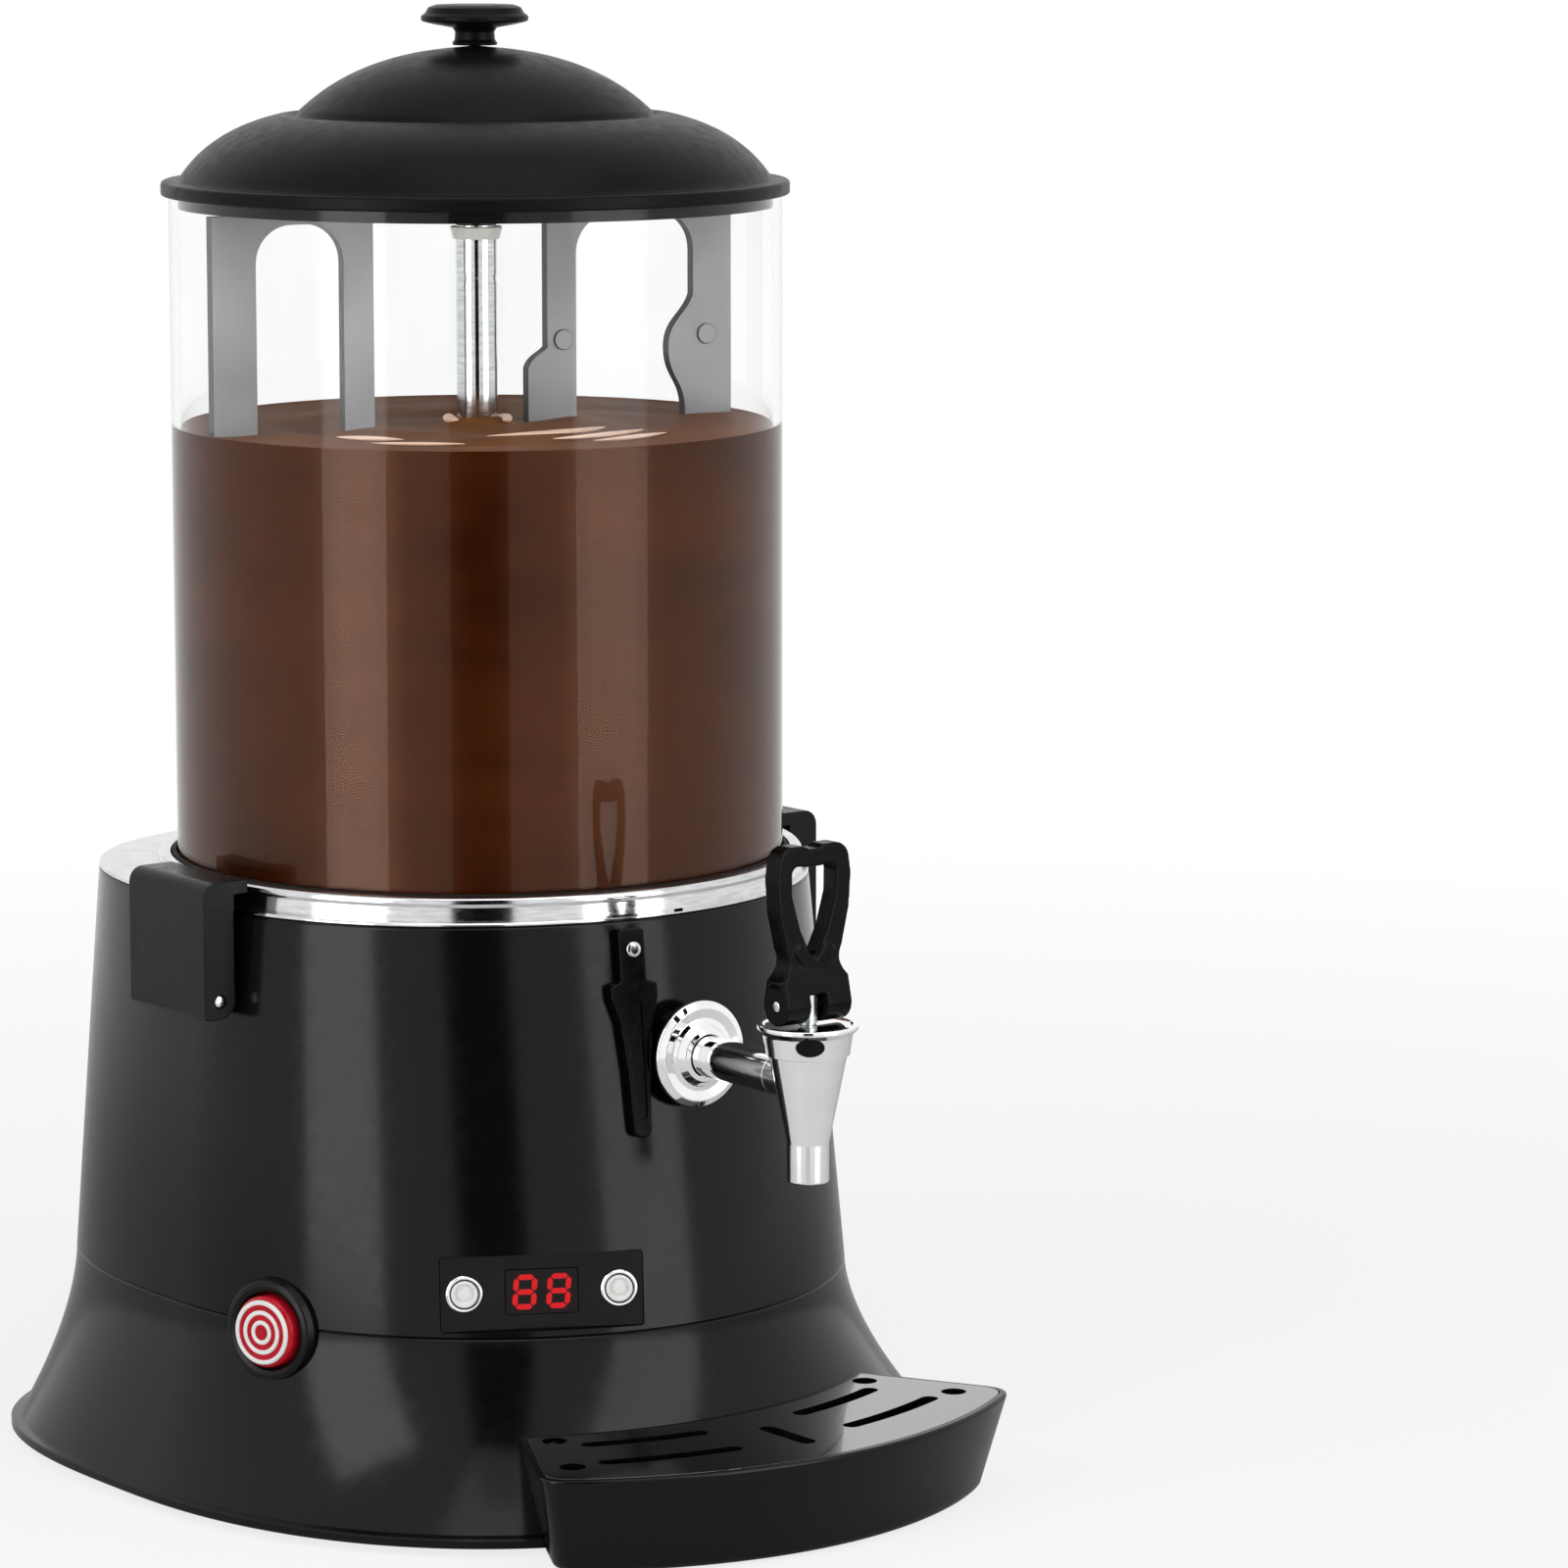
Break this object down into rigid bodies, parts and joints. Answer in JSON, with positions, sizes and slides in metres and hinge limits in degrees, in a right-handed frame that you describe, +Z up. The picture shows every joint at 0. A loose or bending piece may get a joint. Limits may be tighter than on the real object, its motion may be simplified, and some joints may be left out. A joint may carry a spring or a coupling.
{
  "type": "heated drink dispenser",
  "caption": "Table-top hot chocolate dispenser with a clear stirred bowl over a heated pan, lever tap, drip tray, side latches and a small control panel.",
  "frame": {"origin": "centre of the footprint's bounding box, on the surface that it stands on", "axes": "+Z up, the tap and the tray point along -Y, +X to the right of someone facing the tap"},
  "size_m": [0.35, 0.411, 0.58],
  "materials": {
    "housing": "glossy black moulded plastic",
    "clear_bowl": "clear polished polycarbonate",
    "lid_plastic": "satin black moulded plastic",
    "lever_plastic": "black moulded plastic",
    "polished_steel": "polished stainless steel",
    "steel_sheet": "plain stainless sheet and bar",
    "motor_casting": "cast alloy",
    "paddle_plastic": "grey moulded plastic",
    "pale_plastic": "pale moulded plastic",
    "key_metal": "bright metal key tops",
    "panel_gloss": "glossy black panel with bright key rings",
    "display_red": "dark red display window",
    "button_red": "translucent red push button",
    "black_trim": "black moulded plastic",
    "board_green": "circuit board",
    "rubber_black": "black rubber",
    "silicone": "pale silicone rubber",
    "tray_gloss": "glossy black moulded plastic",
    "grille_gloss": "glossy black moulded plastic"
  },
  "bodies": {
    "root": {"lower_base": "housing", "upper_housing": "housing", "bowl": "clear_bowl", "top_plate": "polished_steel", "tap_nut": "polished_steel", "tap_flange": "polished_steel", "tap_shank": "polished_steel", "tap_body": "polished_steel", "tap_bonnet": "polished_steel", "catch_screw": "polished_steel", "latch_pin_left": "polished_steel", "latch_pin_right": "polished_steel", "base_plate": "steel_sheet", "product_pan": "steel_sheet", "water_tank": "steel_sheet", "heating_element": "steel_sheet", "heater_clamp": "steel_sheet", "temperature_probe": "steel_sheet", "shaft_sleeve": "steel_sheet", "motor_bracket": "steel_sheet", "motor_screw_left": "steel_sheet", "motor_screw_right": "steel_sheet", "pan_nut": "steel_sheet", "tap_spring": "steel_sheet", "housing_screw_1": "steel_sheet", "housing_screw_2": "steel_sheet", "housing_screw_3": "steel_sheet", "housing_screw_4": "steel_sheet", "gearmotor": "motor_casting", "control_panel": "panel_gloss", "display_window": "display_red", "power_bezel": "black_trim", "power_switch": "black_trim", "power_inlet": "black_trim", "control_board": "board_green", "foot_front_left": "rubber_black", "foot_front_right": "rubber_black", "foot_rear_left": "rubber_black", "foot_rear_right": "rubber_black", "bowl_gasket": "rubber_black", "shaft_seal": "silicone"},
    "lid": {"lid": "lid_plastic", "lid_knob": "lid_plastic"},
    "stirrer": {"drive_shaft": "steel_sheet", "drive_pin": "steel_sheet", "stirrer_shaft": "polished_steel", "stirrer_paddle": "paddle_plastic", "shaft_cap": "pale_plastic"},
    "tap_valve": {"tap_stem": "steel_sheet", "tap_seat_cup": "silicone", "tap_lever_pin": "polished_steel"},
    "tap_handle": {"tap_lever": "lever_plastic"},
    "tray": {"drip_tray": "tray_gloss"},
    "grille": {"drip_grille": "grille_gloss"},
    "power_key": {"power_button": "button_red"},
    "panel_key_left": {"panel_button_left": "key_metal"},
    "panel_key_right": {"panel_button_right": "key_metal"},
    "latch_left_arm": {"latch_left": "housing"},
    "latch_right_arm": {"latch_right": "housing"},
    "front_catch": {"catch_lever": "lever_plastic"}
  },
  "joints": [
    {"name": "lid_lift", "type": "slide", "parent": "root", "child": "lid", "axis": [0, 0, 1], "range_m": [0, 0.12]},
    {"name": "stirrer_spin", "type": "hinge", "parent": "root", "child": "stirrer", "pos_m": [0, 0.0325, 0.3], "axis": [0, 0, 1], "continuous": true},
    {"name": "tap_valve_lift", "type": "slide", "parent": "root", "child": "tap_valve", "axis": [0, 0, 1], "range_m": [0, 0.003], "deforming": ["tap_spring"]},
    {"name": "tap_lever_pull", "type": "hinge", "parent": "tap_valve", "child": "tap_handle", "pos_m": [0, -0.1815, 0.21], "axis": [1, 0, 0], "range_deg": [0, 60], "stiffness_Nm_per_rad": 0.05, "springref_deg": -17.19},
    {"name": "drip_tray_slide", "type": "slide", "parent": "root", "child": "tray", "axis": [0, -1, 0], "range_m": [0, 0.08]},
    {"name": "grille_lift", "type": "slide", "parent": "tray", "child": "grille", "axis": [0, 0, 1], "range_m": [0, 0.05]},
    {"name": "power_button_press", "type": "slide", "parent": "root", "child": "power_key", "axis": [0.9448, 0.3254, -0.0387], "range_m": [0, 0.0025], "stiffness_N_per_m": 400},
    {"name": "left_key_press", "type": "slide", "parent": "root", "child": "panel_key_left", "axis": [0.4623, 0.8787, -0.1188], "range_m": [0, 0.001], "stiffness_N_per_m": 600},
    {"name": "right_key_press", "type": "slide", "parent": "root", "child": "panel_key_right", "axis": [0.4623, 0.8787, -0.1188], "range_m": [0, 0.001], "stiffness_N_per_m": 600},
    {"name": "left_latch_swing", "type": "hinge", "parent": "root", "child": "latch_left_arm", "pos_m": [-0.1437, 0.0315, 0.199], "axis": [0, -1, 0], "range_deg": [0, 85]},
    {"name": "right_latch_swing", "type": "hinge", "parent": "root", "child": "latch_right_arm", "pos_m": [0.1437, 0.0315, 0.199], "axis": [0, 1, 0], "range_deg": [0, 85]},
    {"name": "front_catch_swing", "type": "hinge", "parent": "root", "child": "front_catch", "pos_m": [-0.02285, -0.09706, 0.221], "axis": [0.1641, 0.9778, -0.13], "range_deg": [0, 45]}
  ],
  "couplings": [
    {"joint": "tap_valve_lift", "follows": "tap_lever_pull", "m_per_rad": 0.002864}
  ]
}
